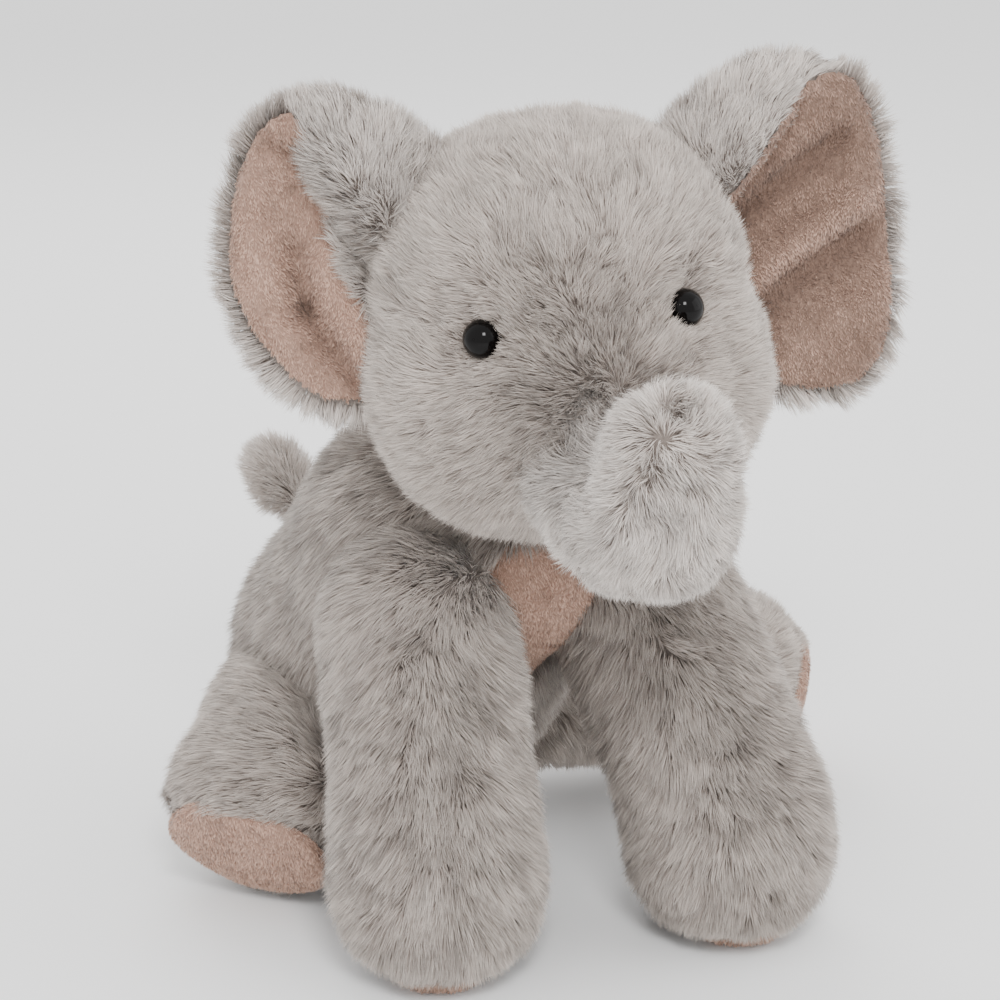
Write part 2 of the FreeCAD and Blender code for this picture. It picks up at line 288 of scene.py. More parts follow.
def remesh(obj, voxel, smooth):
    """One closed, evenly meshed and eased surface round everything in the mesh."""
    shell = obj.modifiers.new("shell", "REMESH")
    shell.mode = "VOXEL"
    shell.voxel_size = voxel * MM
    ease = obj.modifiers.new("ease", "SMOOTH")
    ease.factor = 0.5
    ease.iterations = smooth
    apply_modifiers(obj)
    obj.data.polygons.foreach_set("use_smooth", np.ones(len(obj.data.polygons), bool))


CLOTH_SCALE = 10.0      # the cloth solver is steady on a piece about a metre across


def plump(obj, cap, pressure=4.0, frames=20):
    """Fill a sewn form by cloth simulation under pressure. No point moves further than cap."""
    before, _, _ = arrays(obj)
    put_verts(obj, before * CLOTH_SCALE)
    cloth = obj.modifiers.new("cloth", "CLOTH")
    cloth.settings.use_pressure = True
    cloth.settings.uniform_pressure_force = pressure
    cloth.settings.effector_weights.gravity = 0
    cloth.point_cache.frame_start = 1
    cloth.point_cache.frame_end = frames
    for step in range(1, frames + 1):
        bpy.context.scene.frame_set(step)
    apply_modifiers(obj)
    bpy.context.scene.frame_set(1)
    after, _, _ = arrays(obj)
    move = after / CLOTH_SCALE - before
    far = np.linalg.norm(move, axis=1, keepdims=True)
    put_verts(obj, before + move * np.minimum(1, cap / np.maximum(far, 1e-6)))


def ball_mesh():
    bm = bmesh.new()
    bmesh.ops.create_icosphere(bm, subdivisions=3, radius=1.0)
    verts = np.array([v.co[:] for v in bm.verts])
    faces = np.array([[v.index for v in f.verts] for f in bm.faces])
    bm.free()
    return verts, faces


BALL_V, BALL_F = ball_mesh()


def chain(points, step=4.0):
    """Balls (x, y, z, r) filled in between the given ones."""
    points = [np.array(p, float) for p in points]
    out = [points[0]]
    for a, b in zip(points[:-1], points[1:]):
        n = max(1, int(np.linalg.norm(b[:3] - a[:3]) / step))
        out += [a + (b - a) * (i / n) for i in range(1, n + 1)]
    return out


def head_chain(points, step=4.0):
    """The same for balls given in the head's frame."""
    return [np.array([*head_to_row(ball[:3]), ball[3]]) for ball in chain(points, step)]


def soft_form(name, chains, voxel=2.5, smooth=10, more=()):
    """One closed soft form from chains of balls and any more (verts, faces)."""
    verts, faces, start = [], [], 0
    solids = [(BALL_V * r + np.array([x, y, z]), BALL_F) for balls in chains for x, y, z, r in balls]
    for v, f in solids + list(more):
        verts.append(v)
        faces.append(f + start)
        start += len(v)
    obj = new_mesh(name, np.concatenate(verts), np.concatenate(faces), M_SKIN)
    remesh(obj, voxel, smooth)
    return obj


def patch(name, skin, inside, lift, mat=None):
    """A fabric panel over the part of a skin that inside(points, normals) picks, lifted off it."""
    verts, tris, normals = arrays(skin)
    chosen = tris[inside(verts[tris].mean(axis=1), unit(normals[tris].mean(axis=1)))]
    used = np.unique(chosen)
    index = np.full(len(verts), -1)
    index[used] = np.arange(len(used))
    return new_mesh(name, verts[used] + normals[used] * lift, index[chosen], mat or M_BEIGE)


def noise(points, size, seed):
    """Smooth noise from 0 to 1, one value a point, made from a few fixed waves."""
    local = np.random.default_rng(seed)
    total = np.zeros(len(points))
    for _ in range(9):
        way = unit(local.normal(size=3)) * (2 * math.pi / (size * local.uniform(0.7, 1.6)))
        total += np.sin(points @ way + local.uniform(0, 2 * math.pi))
    return 0.5 + 0.5 * np.tanh(total / 3.0)


def noise3(points, size, seed):
    return np.stack([noise(points, size, seed + k) for k in range(3)], axis=1) - 0.5


def near(points, target, size):
    return np.exp(-np.sum((points - target) ** 2, axis=1) / (2 * size * size))


def settle(obj, body, bend=None):
    """Parents a piece to its body's empty. bend is (body a, body b, start, end) for one that crosses a joint;
    such a piece is not parented, only its transform is baked in.
    """
    if bend is None:
        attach(obj, body)
    else:
        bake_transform(obj)


# ---------------------------------------------------------------- pile

STRAND = np.array([[0, 2, 1], [1, 2, 3]])       # root, the two middle corners, tip
STRAND_V = np.array([0.02, 0.5, 0.5, 0.98])
CHUNK = 90000                                   # strands in one mesh


def scatter(skin, per_mm2, keep):
    """Random roots over a skin and the skin's normal at each."""
    verts, tris, normals = arrays(skin)
    corners = verts[tris]
    area = np.linalg.norm(np.cross(corners[:, 1] - corners[:, 0], corners[:, 2] - corners[:, 0]), axis=1) / 2
    count = int(area.sum() * per_mm2 * DENSITY)
    pick = rng.choice(len(tris), count, p=area / area.sum())
    mix = rng.dirichlet((1.0, 1.0, 1.0), count)
    root = np.einsum("ij,ijk->ik", mix, corners[pick])
    n = unit(np.einsum("ij,ijk->ik", mix, normals[tris[pick]]))
    if keep is not None:
        alive = rng.random(len(root)) < keep(root, n)
        root, n = root[alive], n[alive]
    return root, n


def clumps(root, size):
    """A clump number for each root, in uneven cells about size across."""
    warped = root + noise3(root, 3.2 * size, 11) * 3.0 * size + rng.uniform(0, size, 3)
    cell = np.floor(warped / size).astype(np.int64) + 5000
    _, which = np.unique((cell[:, 0] * 10000 + cell[:, 1]) * 10000 + cell[:, 2], return_inverse=True)
    return which.ravel()


def gather(points, which, strength):
    """Points drawn towards the middle of their clump."""
    size = np.bincount(which)
    middle = np.stack([np.bincount(which, points[:, k]) / size for k in range(3)], axis=1)
    return points + (middle[which] - points) * strength


def grow(name, skin, body, comb, per_mm2=7.0, length=9.0, mat=None, slot="grey_plush", keep=None, tone=None,
         width=0.22, clump=1.5, pull=0.5, tuft=5.0, tuft_pull=0.18, wander=0.35, jitter=0.16, bend=None,
         depth=0.6):
    """Pile strands rooted on a skin. comb gives each root its direction along the skin and its lean."""
    root, n = scatter(skin, per_mm2, keep)
    count = len(root)
    way, lean = comb(root, n)
    way = unit(way) + wander * (noise3(root, 16.0, 51) * 1.6 + noise3(root, 6.0, 61))
    way = unit(way - n * np.sum(way * n, axis=1, keepdims=True) + 1e-6)
    lean = np.broadcast_to(np.asarray(lean, float), (count,))[:, None]
    lean = np.clip(lean + (noise(root, 11.0, 71)[:, None] - 0.5) * 0.18, 0, 0.9)
    long = length(root, n) if callable(length) else np.full(count, float(length))
    long = (long * rng.uniform(0.70, 1.10, count))[:, None]
    shake = rng.normal(size=(count, 3)) * jitter
    first = unit(n * (1 - 0.55 * lean) + way * lean * 0.75 + shake * 0.6)
    second = unit(n * (1 - lean) + way * lean * 1.1 + shake + np.array([0, 0, -0.08]))
    root = root - n * depth
    mid = root + first * long * 0.5
    tip = mid + second * long * 0.55

    small, large = clumps(root, clump), clumps(root, tuft)
    hold = (pull * rng.uniform(0.4, 1.0, small.max() + 1))[small][:, None]
    mid = gather(mid, small, hold * 0.4)
    tip = gather(tip, small, hold)
    hold = (tuft_pull * rng.uniform(0.3, 1.0, large.max() + 1))[large][:, None]
    mid = gather(mid, large, hold * 0.3)
    tip = gather(tip, large, hold)
    for part in (mid, tip):
        part[:, 2] = np.maximum(part[:, 2], 0.35 + rng.random(count) * 0.4)

    shade = 0.5 + rng.normal(0, 0.09, count) + rng.normal(0, 0.12, small.max() + 1)[small]
    shade = shade + rng.normal(0, 0.09, large.max() + 1)[large]
    if tone is not None:
        shade = shade + tone(root, n)

    line = unit(tip - root)
    side = np.cross(line, n) + rng.normal(size=(count, 3)) * 0.12
    side = unit(side - line * np.sum(side * line, axis=1, keepdims=True))
    twist = rng.normal(0, 0.5, count)[:, None]
    side = side * np.cos(twist) + np.cross(side, line) * np.sin(twist)
    half = side * (width / 2 * rng.uniform(0.7, 1.3, count))[:, None]
    points = np.stack([root, mid - half, mid + half, tip], axis=1)
    # Shading follows the skin on lying strands, and the strand's own face on upright ones.
    upright = 0.25 + 0.65 * np.sum(line * n, axis=1, keepdims=True) ** 2
    shine = unit(n * (1 - upright) + np.cross(side, line) * upright + rng.normal(size=(count, 3)) * 0.12)
    normals = np.stack([shine, shine, shine, unit(shine + line * 0.25)], axis=1)
    uvs = np.empty((count, 4, 2))
    uvs[:, :, 0] = np.clip(shade, 0.01, 0.99)[:, None]
    uvs[:, :, 1] = STRAND_V
    make_strands(name, points, normals, uvs, mat or M_PILE, lambda obj: settle(obj, body, bend))


def make_strands(name, points, normals, uvs, mat, place):
    """Strand meshes of at most CHUNK strands each, split from side to side."""
    groups = np.array_split(np.argsort(points[:, 0, 0]), max(1, math.ceil(len(points) / CHUNK)))
    for i, group in enumerate(groups):
        faces = (STRAND[None] + 4 * np.arange(len(group))[:, None, None]).reshape(-1, 3)
        obj = new_mesh(f"{name}_{i + 1}" if len(groups) > 1 else name, points[group].reshape(-1, 3), faces,
                       mat, uvs[group].reshape(-1, 2), normals[group].reshape(-1, 3))
        place(obj)


def nap(name, panel, body, bend=None, keep=None, tone=None):
    """Short velour nap over a beige panel."""
    def comb(root, n):
        return np.tile([0.1, -0.1, -1.0], (len(root), 1)), 0.5

    grow(name, panel, body, comb, per_mm2=6.0, length=1.5, mat=M_NAP, slot="beige_velour", keep=keep,
         tone=tone, width=0.26, clump=1.0, pull=0.5, tuft=3.5, tuft_pull=0.1, wander=0.4, jitter=0.2,
         bend=bend, depth=0.2)


# ---------------------------------------------------------------- head

PILE = 6.2      # how far the mean pile surface stands off the skin, swelling included
SWELL = 0.8     # how far the cloth simulation may move a skin


def inset(points, by=PILE):
    return [(p[0], p[1], p[2], p[3] - by) for p in points]


NOSE = np.array([4.0, -50.0, -8.0])             # in the head's frame
BROW_PATCH = np.array([-12.0, -60.0, -8.0])      # where the pile points straight out of the face, and where a painted shadow darkens the pile beside the trunk


def head_comb(root, n):
    """The pile runs out from the muzzle over the face and back over the head."""
    p = row_to_head(root)
    away = p - NOSE
    away[:, 1] *= 0.6
    far = np.linalg.norm(p - NOSE, axis=1)
    back = rise((far - 18) / 60)[:, None]
    way = unit(away) * (1 - back * 0.4) + np.array([0.0, 0.6, 0.25]) * back
    lean = 0.26 + 0.34 * rise((far - 6) / 45) - 0.12 * near(p, BROW_PATCH, 15)
    return unit(way) @ HEAD_R.T, lean


def make_head():
    cranium = [(-5, 0, 14, 47.5), (4, 0, 14, 47.5)]
    back = [(0, 3, 7, 49), (0, 0, -8, 50)]
    cheeks = [(-14, -6, -10, 42.5), (13, -6, -10, 42.5)]
    muzzle = [(1, -18, -10, 40), (3, -30, -14, 34)]
    skin = soft_form("head_skin", [head_chain(inset(part)) for part in (cranium, back, cheeks, muzzle)],
                     smooth=14)
    plump(skin, SWELL)
    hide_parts("head_side_left", "head_side_right", "head_gusset", "chin_gusset", "head_stuffing",
                "eye_washer_left", "eye_washer_right")
    settle(skin, "head")
    seats = [eye_place(side)[0] + EYE_BARE[side] for side in SIDES]

    def eye_gap(p):
        return np.min([np.linalg.norm(p - seat, axis=1) for seat in seats], axis=0)

    def keep(root, n):
        p = row_to_head(root)
        under_trunk = np.linalg.norm(p - TRUNK[0][:3], axis=1) < TRUNK[0][3] - 10
        return np.where((eye_gap(p) < EYE_R - 0.6) | under_trunk, 0.0, 1.0)

    def length(root, n):
        p = row_to_head(root)
        long = 9.4 - 2.4 * near(p, NOSE, 18)
        return np.minimum(long, 0.6 + 0.62 * eye_gap(p))

    def tone(root, n):
        p = row_to_head(root)
        # Random tone, lifted a little, with a painted shadow darkening the pile round BROW_PATCH.
        return 0.08 + 0.16 * (noise(p, 20, 5) - 0.5) - 0.42 * near(p, BROW_PATCH, 17)

    grow("head_pile", skin, "head", head_comb, length=length, keep=keep, tone=tone, clump=1.8, pull=0.62,
         tuft_pull=0.26, wander=0.6, jitter=0.22)


# ---------------------------------------------------------------- trunk

# Balls along the trunk in the head's frame: out of the face, down, then curled up to the tip.
TRUNK = np.array([(2, -34, -18, 28), (4, -58, -31, 24), (7, -77, -28, 21.5), (9, -86, -8, 18.5)], float)
TIP = np.array([3.0, -104.0, -2.0])             # the pile runs back from here
END_SEAM = np.array([10.0, -103.0, -4.0])       # middle of the seam round the tip's end


def trunk_comb(root, n):
    """From the tip the pile runs back over the trunk towards the face."""
    p = row_to_head(root)
    away = p - TIP
    far = np.linalg.norm(away, axis=1)
    swirl = 0.9 * rise((26 - far) / 16)             # the pile turns round the tip
    turn = np.cross(away, [0.0, 1.0, 0.0]) * swirl[:, None]
    return unit(away + turn) @ HEAD_R.T, 0.40 + 0.20 * rise((far - 6) / 22)


def make_trunk():
    skin = soft_form("trunk_skin", [head_chain(inset(TRUNK, 5.4))], voxel=2.0, smooth=8)
    plump(skin, SWELL)
    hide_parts("trunk_left_panel", "trunk_right_panel", "trunk_stuffing", "trunk_tip")
    bend = ("head", "trunk", head_to_row([2, -38, -19]), head_to_row(TRUNK[1][:3]))
    settle(skin, "trunk", bend)

    def keep(root, n):
        p = row_to_head(root)
        return np.where(np.linalg.norm(p - [2, 0, 0], axis=1) < 42, 0.0, 1.0)

    def end_ring(p):
        """1 along the uneven seam round the end of the tip."""
        gap = (p - END_SEAM) * [1.0, 0.5, 1.2]
        ring = np.exp(-((np.linalg.norm(gap, axis=1) + 3 * noise(p, 7, 4) - 10.0) / 1.4) ** 2)
        return ring * (p[:, 1] < -90)

    def length(root, n):
        return 8.4 - 3.2 * end_ring(row_to_head(root))

    # The pile is darker along end_ring: painted shade in the crease of the seam round the tip's end.
    def tone(root, n):
        p = row_to_head(root)
        pale = 0.05 + 0.10 * rise((p[:, 2] + 30) / 30) + 0.16 * (noise(p, 12, 6) - 0.5)
        # The last term is a painted shadow round BROW_PATCH, on the trunk's side towards the face.
        return pale - 0.30 * end_ring(p) - 0.60 * near(p, BROW_PATCH, 14) * (p[:, 1] > -78)

    grow("trunk_pile", skin, "trunk", trunk_comb, length=length, mat=M_PALE, keep=keep, tone=tone, bend=bend,
         clump=1.8, pull=0.62, tuft_pull=0.28, wander=1.1, jitter=0.26)


# ---------------------------------------------------------------- eyes

EYE_R, EYE_DOME, EYE_SEAT = 5.0, 4.6, 47.0
EYE_ANGLE = {"left": math.radians(33.5), "right": math.radians(36.5)}
EYE_UP = {"left": 13.0, "right": 11.5}
# The bare patch lies outwards of the eye, so that the pile of the nose's side covers its inner edge.
EYE_BARE = {"left": (2.2, 0, 1.4), "right": (-0.8, 0, 0.2)}


def eye_place(name):
    """Middle of an eye's seat in the head's frame, and the way it looks."""
    across = math.sqrt(EYE_SEAT ** 2 - EYE_UP[name] ** 2)
    angle = EYE_ANGLE[name]
    seat = np.array([SIDES[name] * across * math.sin(angle), -across * math.cos(angle), EYE_UP[name]])
    return seat, unit(seat)


def turned(profile, centre, way, radii, turns=48, wave=0.0):
    """Verts and faces of a form turned round way, from (radius, height) pairs."""
    u = unit(np.cross(way, [0.2, 0.1, 1]))
    w = np.cross(way, u)
    verts, faces = [], []
    for r, h in profile:
        for i in range(turns):
            t = 2 * math.pi * i / turns
            edge = r * (1 + wave * math.sin(5 * t + 1.0))
            verts.append(centre + way * h + (u * math.cos(t) * radii[0] + w * math.sin(t) * radii[1]) * edge)
    for j in range(len(profile) - 1):
        for i in range(turns):
            k = (i + 1) % turns
            faces.append([j * turns + i, j * turns + k, (j + 1) * turns + k, (j + 1) * turns + i])
    return np.array(verts), np.array(faces)


def dome(height, steps=14):
    """(radius, height) pairs up a quarter ellipse of radius 1."""
    return [(math.cos(a), height * math.sin(a)) for a in np.linspace(0.05, math.pi / 2 - 0.02, steps)]


def make_eyes():
    for name in SIDES:
        seat, way = eye_place(name)
        profile = [(1.0, -1.2), (1.03, -0.4)] + dome(EYE_DOME)
        verts, faces = turned(profile, seat, way, (EYE_R, EYE_R))
        eye = new_mesh("eye_dome_" + name, head_to_row(verts), faces, M_EYE)
        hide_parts("eye_" + name)
        settle(eye, "head")


# ---------------------------------------------------------------- torso

# Balls down the torso, from the chest to the seat.
TORSO = [(0, -58, 104, 34), (-12, -36, 101, 46), (-10, -16, 82, 48), (-12, 0, 62, 50), (-14, 12, 52, 50)]
SEAT_UP = 1.2       # the skin's height over the floor where it sits


def on_chest(p, n=None):
    """True on the beige chest and belly, which show between the forelegs."""
    return (p[:, 1] + 0.55 * p[:, 2] < -18) & (np.abs(p[:, 0] + 3) < 15)


def make_torso():
    skin = soft_form("torso_skin", [chain(inset(TORSO))], smooth=12)
    plump(skin, SWELL)
    verts, _, _ = arrays(skin)
    verts[:, 2] = np.maximum(verts[:, 2], SEAT_UP)
    put_verts(skin, verts)
    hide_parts("torso_back_left", "torso_back_right", "torso_stuffing", "pellet_pouch",
                "neck_stuffing")
    settle(skin, "torso")

    def keep(root, n):
        under_head = np.linalg.norm(root - HEAD, axis=1) < 46
        return np.where(on_chest(root) | (root[:, 2] < 3) | under_head, 0.0, 1.0)

    def comb(root, n):
        way = np.tile([0.0, 0.35, -0.9], (len(root), 1))
        way[:, 0] += np.sign(root[:, 0] + 12) * 0.15
        return way, 0.55

    # The torso pile has a random tone and is darker overall than the head: painted shade.
    grow("torso_pile", skin, "torso", comb, per_mm2=5.5, length=10.0, keep=keep, width=0.24, tuft_pull=0.25,
         tone=lambda root, n: 0.24 * (noise(root, 18, 7) - 0.5) - 0.22)
    panel = patch("chest_velour", skin, on_chest, 0.8)
    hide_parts("belly_panel")
    settle(panel, "torso")
    # The chest nap is made lighter: painted light, against the shade under the head.
    nap("chest_nap", panel, "torso", tone=even(0.15))


# ---------------------------------------------------------------- legs

PAD_UP = 0.2        # the lowest point of a pad


def even(value):
    """The same tone everywhere."""
    return lambda root, n: np.full(len(root), value)


def make_pad(name, centre, way, radii, height, node, body):
    """A padded oval of velour: crowned in the middle, drawn in at its seam."""
    profile = [(1.0, -2.6), (1.02, -1.2), (1.0, -0.1)] + dome(height, 9)
    verts, faces = turned(profile, centre, way, radii, wave=0.02)
    verts[:, 2] = np.maximum(verts[:, 2], PAD_UP)
    pad = new_mesh(name, verts, faces, M_BEIGE)
    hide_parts(node)
    settle(pad, body)
    nap(name + "_nap", pad, body, keep=lambda root, n: np.where(root[:, 2] < 1.0, 0.0, 1.0),
        tone=even(0.15))


LEG_PILE = {"clump": 1.9, "pull": 0.55, "tuft": 6.0, "tuft_pull": 0.3}
FORE_UP = 3.0                       # flat under the forefoot
FORE_PAD_R, FORE_PAD_UP = 12.0, 1.6


def make_foreleg(name):
    side = SIDES[name]
    body = "foreleg_" + name
    top = joint_at("foreleg_swing_" + name) + [0, 0, 4]
    sole = box_centre("forefoot_sole_" + name)
    knee = (top + sole) / 2 + [0, -3, 12]
    foot = sole + [-1.5 * side, 3.5, 25]
    line = [(*top, 28.5), (*knee, 28.5), (*(foot + [0, 1, 8]), 30.5), (*foot, 30.5)]
    skin = soft_form("foreleg_skin_" + name, [chain(inset(line))], smooth=8)
    plump(skin, SWELL)
    verts, _, _ = arrays(skin)
    verts[:, 2] = np.maximum(verts[:, 2], FORE_UP)
    put_verts(skin, verts)
    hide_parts("foreleg_outer_" + name, "foreleg_inner_" + name, "foreleg_stuffing_" + name)
    bend = ("torso", body, top + (knee - top) * 0.05, top + (knee - top) * 0.75)
    settle(skin, body, bend)
    axis = unit(foot - top)
    front = np.array([side * 0.10 - 0.12, -1.0, 0.25])      # where the front seam runs
    front = unit(front - axis * (front @ axis))
    across = np.cross(axis, front)

    def round_leg(root):
        """Angle round the leg from the front seam."""
        return np.arctan2((root - top) @ across, (root - top) @ front)

    def comb(root, n):
        """Down the leg at the front seam, and outwards from it to each side."""
        angle = round_leg(root)
        tangent = across * np.cos(angle)[:, None] - front * np.sin(angle)[:, None]
        spread = rise(np.abs(angle) / 1.0) * (1 - 0.6 * rise((np.abs(angle) - 1.2) / 1.5))
        cap = rise(((top - root) @ axis + 8) / 16)      # over the shoulder it runs outwards
        way = axis + tangent * (np.sign(angle) * spread * 0.8)[:, None] - side * across * (1.6 * cap)[:, None]
        return way, 0.44 + 0.14 * spread + 0.12 * cap

    def keep(root, n):
        return np.where((root[:, 2] < 4.5) & (n[:, 2] < -0.7), 0.0, 1.0)

    def tone(root, n):
        seam = np.exp(-(round_leg(root) / 0.07) ** 2)
        # The last term darkens the whole leg: painted shade from the head above it.
        return 0.14 * (noise(root, 13, 8 + side) - 0.5) - 0.06 * seam - 0.15

    def length(root, n):
        return 10.5 - 4.5 * rise((16 - root[:, 2]) / 12)

    grow("foreleg_pile_" + name, skin, body, comb, length=length, keep=keep, tone=tone, bend=bend,
         **LEG_PILE)
    make_pad("forefoot_pad_" + name, np.array([sole[0], sole[1], FORE_PAD_UP]), np.array([0, 0, -1.0]),
             (FORE_PAD_R, FORE_PAD_R), 1.2, "forefoot_sole_" + name, body)


HIND_SHIFT = {"left": np.array([2.0, 0.0, 3.0]), "right": np.array([0.0, -2.0, 2.5])}
HIND_SOLE_WAY = {"left": unit([0.9, -0.25, -0.36]), "right": unit([-0.61, -0.59, -0.53])}
PAD_LONG, PAD_WIDE = 24.0, 18.0     # half sizes of a hind sole
FOOT_BACK = 17.0                    # the foot's middle lies this far behind its sole's middle
SOLE_FLAT = 17.6                    # from the foot's middle to the flat under the sole
HIND_UP = 1.5                       # the lowest point of a hind leg's skin


def make_hindleg(name):
    body = "hindleg_" + name
    hip = joint_at("hindleg_spread_" + name)
    pad = box_centre("hindfoot_sole_" + name)
    way = HIND_SOLE_WAY[name]
    along = unit(np.cross(way, [0, 0, 1]))      # the sole's long way
    foot = pad - way * FOOT_BACK + HIND_SHIFT[name]
    line = [(*hip, 29), (*(hip + (foot - hip) * 0.55 + [0, 0, 1]), 28.5), (*foot, 28.5),
            (*(foot + way * 6), 27.5)]
    wide = [(*(foot - along * 6), 27.5), (*(foot + along * 6), 27.5)]
    skin = soft_form("hindleg_skin_" + name, [chain(inset(line)), chain(inset(wide))], smooth=8)
    plump(skin, SWELL)
    verts, _, _ = arrays(skin)
    verts -= np.maximum((verts - foot) @ way - SOLE_FLAT, 0)[:, None] * way
    verts[:, 2] = np.maximum(verts[:, 2], HIND_UP)
    put_verts(skin, verts)
    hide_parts("hindleg_outer_" + name, "hindleg_inner_" + name, "hindleg_stuffing_" + name)
    bend = ("torso", body, hip, hip + (foot - hip) * 0.6)
    settle(skin, body, bend)
    leg = unit(foot - hip)

    def keep(root, n):
        gap = root - foot
        oval = np.hypot((gap @ along) / (PAD_LONG - 1), (gap @ np.cross(way, along)) / (PAD_WIDE - 1))
        bare = (gap @ way > 8) & (oval < 1)
        return np.where(bare | (root[:, 2] < 2.2), 0.0, 1.0)

    def comb(root, n):
        """Outwards and back over the thigh, and down its side."""
        return np.tile(leg * 0.3 - SIDES[name] * along + [0, 0, -0.35], (len(root), 1)), 0.62

    def length(root, n):
        return 10.0 - 4.0 * rise(((root - foot) @ way - 4) / 8)

    def tone(root, n):
        return 0.14 * (noise(root, 13, 18 + SIDES[name]) - 0.5)

    grow("hindleg_pile_" + name, skin, body, comb, per_mm2=6.5, length=length, keep=keep, tone=tone,
         bend=bend, **LEG_PILE)
    make_pad("hindfoot_pad_" + name, foot + way * (SOLE_FLAT + 0.4), way, (PAD_LONG, PAD_WIDE), 3.2,
             "hindfoot_sole_" + name, body)


# ---------------------------------------------------------------- tail

def make_tail():
    root = joint_at("tail_wag")
    tuft, sleeve = box_centre("tail_tuft"), box_centre("tail_sleeve")
    way = unit(tuft - root)
    line = [(*root, 6.5), (*(sleeve * 0.6 + tuft * 0.4), 6.0), (*(tuft - [0, 0, 2]), 10),
            (*(tuft + way * 4), 9.5)]
    skin = soft_form("tail_skin", [chain(inset(line, 3.0), 2.0)], voxel=1.5, smooth=5)
    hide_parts("tail_sleeve", "tail_tuft")
    bend = ("torso", "tail", root, root + (tuft - root) * 0.5)
    settle(skin, "tail", bend)
    grow("tail_pile", skin, "tail", lambda r, n: (np.tile(way, (len(r), 1)), 0.45), length=8.0, bend=bend,
         mat=M_PALE, tone=even(0.40))


# ---------------------------------------------------------------- ears

# Outline, pile rolls over the top front edge, and beige lining of each ear, in the head's x and z.
EAR_EDGE = {
    "right": [(-44, 38), (-46, 52), (-51, 64), (-57, 68), (-65, 68), (-73, 64), (-80, 52), (-84, 36),
              (-85, 19), (-81, 6), (-74, -6), (-64, -13), (-54, -14), (-46, -9)],
    "left": [(41, 42), (46, 52), (56, 59), (69, 62), (79, 61), (86, 55), (91, 41), (93, 22), (93, 6),
             (91, -9), (86, -19), (78, -25), (68, -25), (55, -20)],
}
EAR_ROLLS = {
    "right": [[(-36, 5, 45, 12), (-45, 3, 55, 10.5), (-56, 3, 62, 9), (-65, 6, 65, 6)],
              [(-40, 2, 34, 11), (-50, 2, 49, 10), (-57, 3, 61, 8)]],
    "left": [[(38, 5, 43, 10), (47, 3, 52, 9.5), (58, 2, 58, 8.5), (70, 4, 60.5, 7), (79, 6, 60, 5)],
             [(42, 1, 35, 9.5), (50, 0, 44, 9.5), (61, 1, 54, 8)]],
}
EAR_LINING = {
    "right": [(-63, 64), (-70, 65), (-77, 56), (-82, 43), (-84, 30), (-82, 14), (-75, 1), (-66, -9),
              (-54, -12), (-43, -8), (-42, 6), (-50, 12), (-56, 25), (-58, 46)],
    "left": [(42, 26), (54, 42), (67, 57), (77, 60), (85, 55), (89, 46), (91, 28), (91, 6), (88, -14),
             (80, -22), (66, -23), (54, -18), (46, -4), (43, 8)],
}
# Soft folds of the lining: from, to, height of the ridge (a valley is below 0) and its width.
EAR_FOLDS = {
    "right": [((-67, 30), (-66, 12), -4.0, 3.4), ((-66, 12), (-55, -8), -5.0, 3.2),
              ((-72, 60), (-62, 54), -4.0, 2.6), ((-59, 24), (-50, 0), 3.5, 6.0),
              ((-76, 34), (-73, 6), 2.0, 6.0)],
    "left": [((50, 22), (80, 42), -5.5, 4.0), ((50, 6), (86, 25), 4.5, 4.2), ((54, -2), (86, 15), -4.0, 3.6),
             ((60, -14), (88, 0), 2.0, 7.0)],
}


EAR_DARK = {"left": -0.36, "right": 0.0}        # the left lining lies in the ear's own shade


def smooth_loop(points, n=72):
    """A closed smooth outline through the points, evenly divided."""
    pts = np.array(points, float)
    t = np.linspace(0, 1, 12, endpoint=False)[:, None]
    p0, p1, p2, p3 = (np.roll(pts, k, axis=0)[:, None] for k in (1, 0, -1, -2))
    out = 0.5 * (2 * p1 + (p2 - p0) * t + (2 * p0 - 5 * p1 + 4 * p2 - p3) * t ** 2
                 + (3 * p1 - p0 - 3 * p2 + p3) * t ** 3)
    out = out.reshape(-1, 2)
    total = np.concatenate([[0], np.cumsum(np.linalg.norm(np.roll(out, -1, axis=0) - out, axis=1))])
    want = np.linspace(0, total[-1], n, endpoint=False)
    looped = np.vstack([out, out[:1]])
    return np.stack([np.interp(want, total, looped[:, k]) for k in range(2)], axis=1)


def inside_loop(q, loop):
    """True for the points of q inside a closed outline."""
    inside = np.zeros(len(q), bool)
    x, z = q[:, 0], q[:, 1]
    for (x1, z1), (x2, z2) in zip(np.roll(loop, 1, axis=0), loop):
        crosses = (z1 > z) != (z2 > z)
        inside ^= crosses & (x < (x2 - x1) * (z - z1) / (z2 - z1 + 1e-9) + x1)
    return inside


def segment_gap(q, a, b):
    """Distance of the points of q from the segment a to b."""
    a, b = np.array(a, float), np.array(b, float)
    t = np.clip((q - a) @ (b - a) / ((b - a) @ (b - a)), 0, 1)[:, None]
    return np.linalg.norm(q - a - (b - a) * t, axis=1)


def ear_depth(q, name):
    """How far back the ear's face lies: a dish with soft folds."""
    gap = q - [SIDES[name] * 68.0, 22.0]
    depth = 15.0 - np.sum(gap * gap, axis=1) / 140.0
    for a, b, high, wide in EAR_FOLDS[name]:
        depth = depth - high * np.exp(-(segment_gap(q, a, b) / wide) ** 2)
    return depth


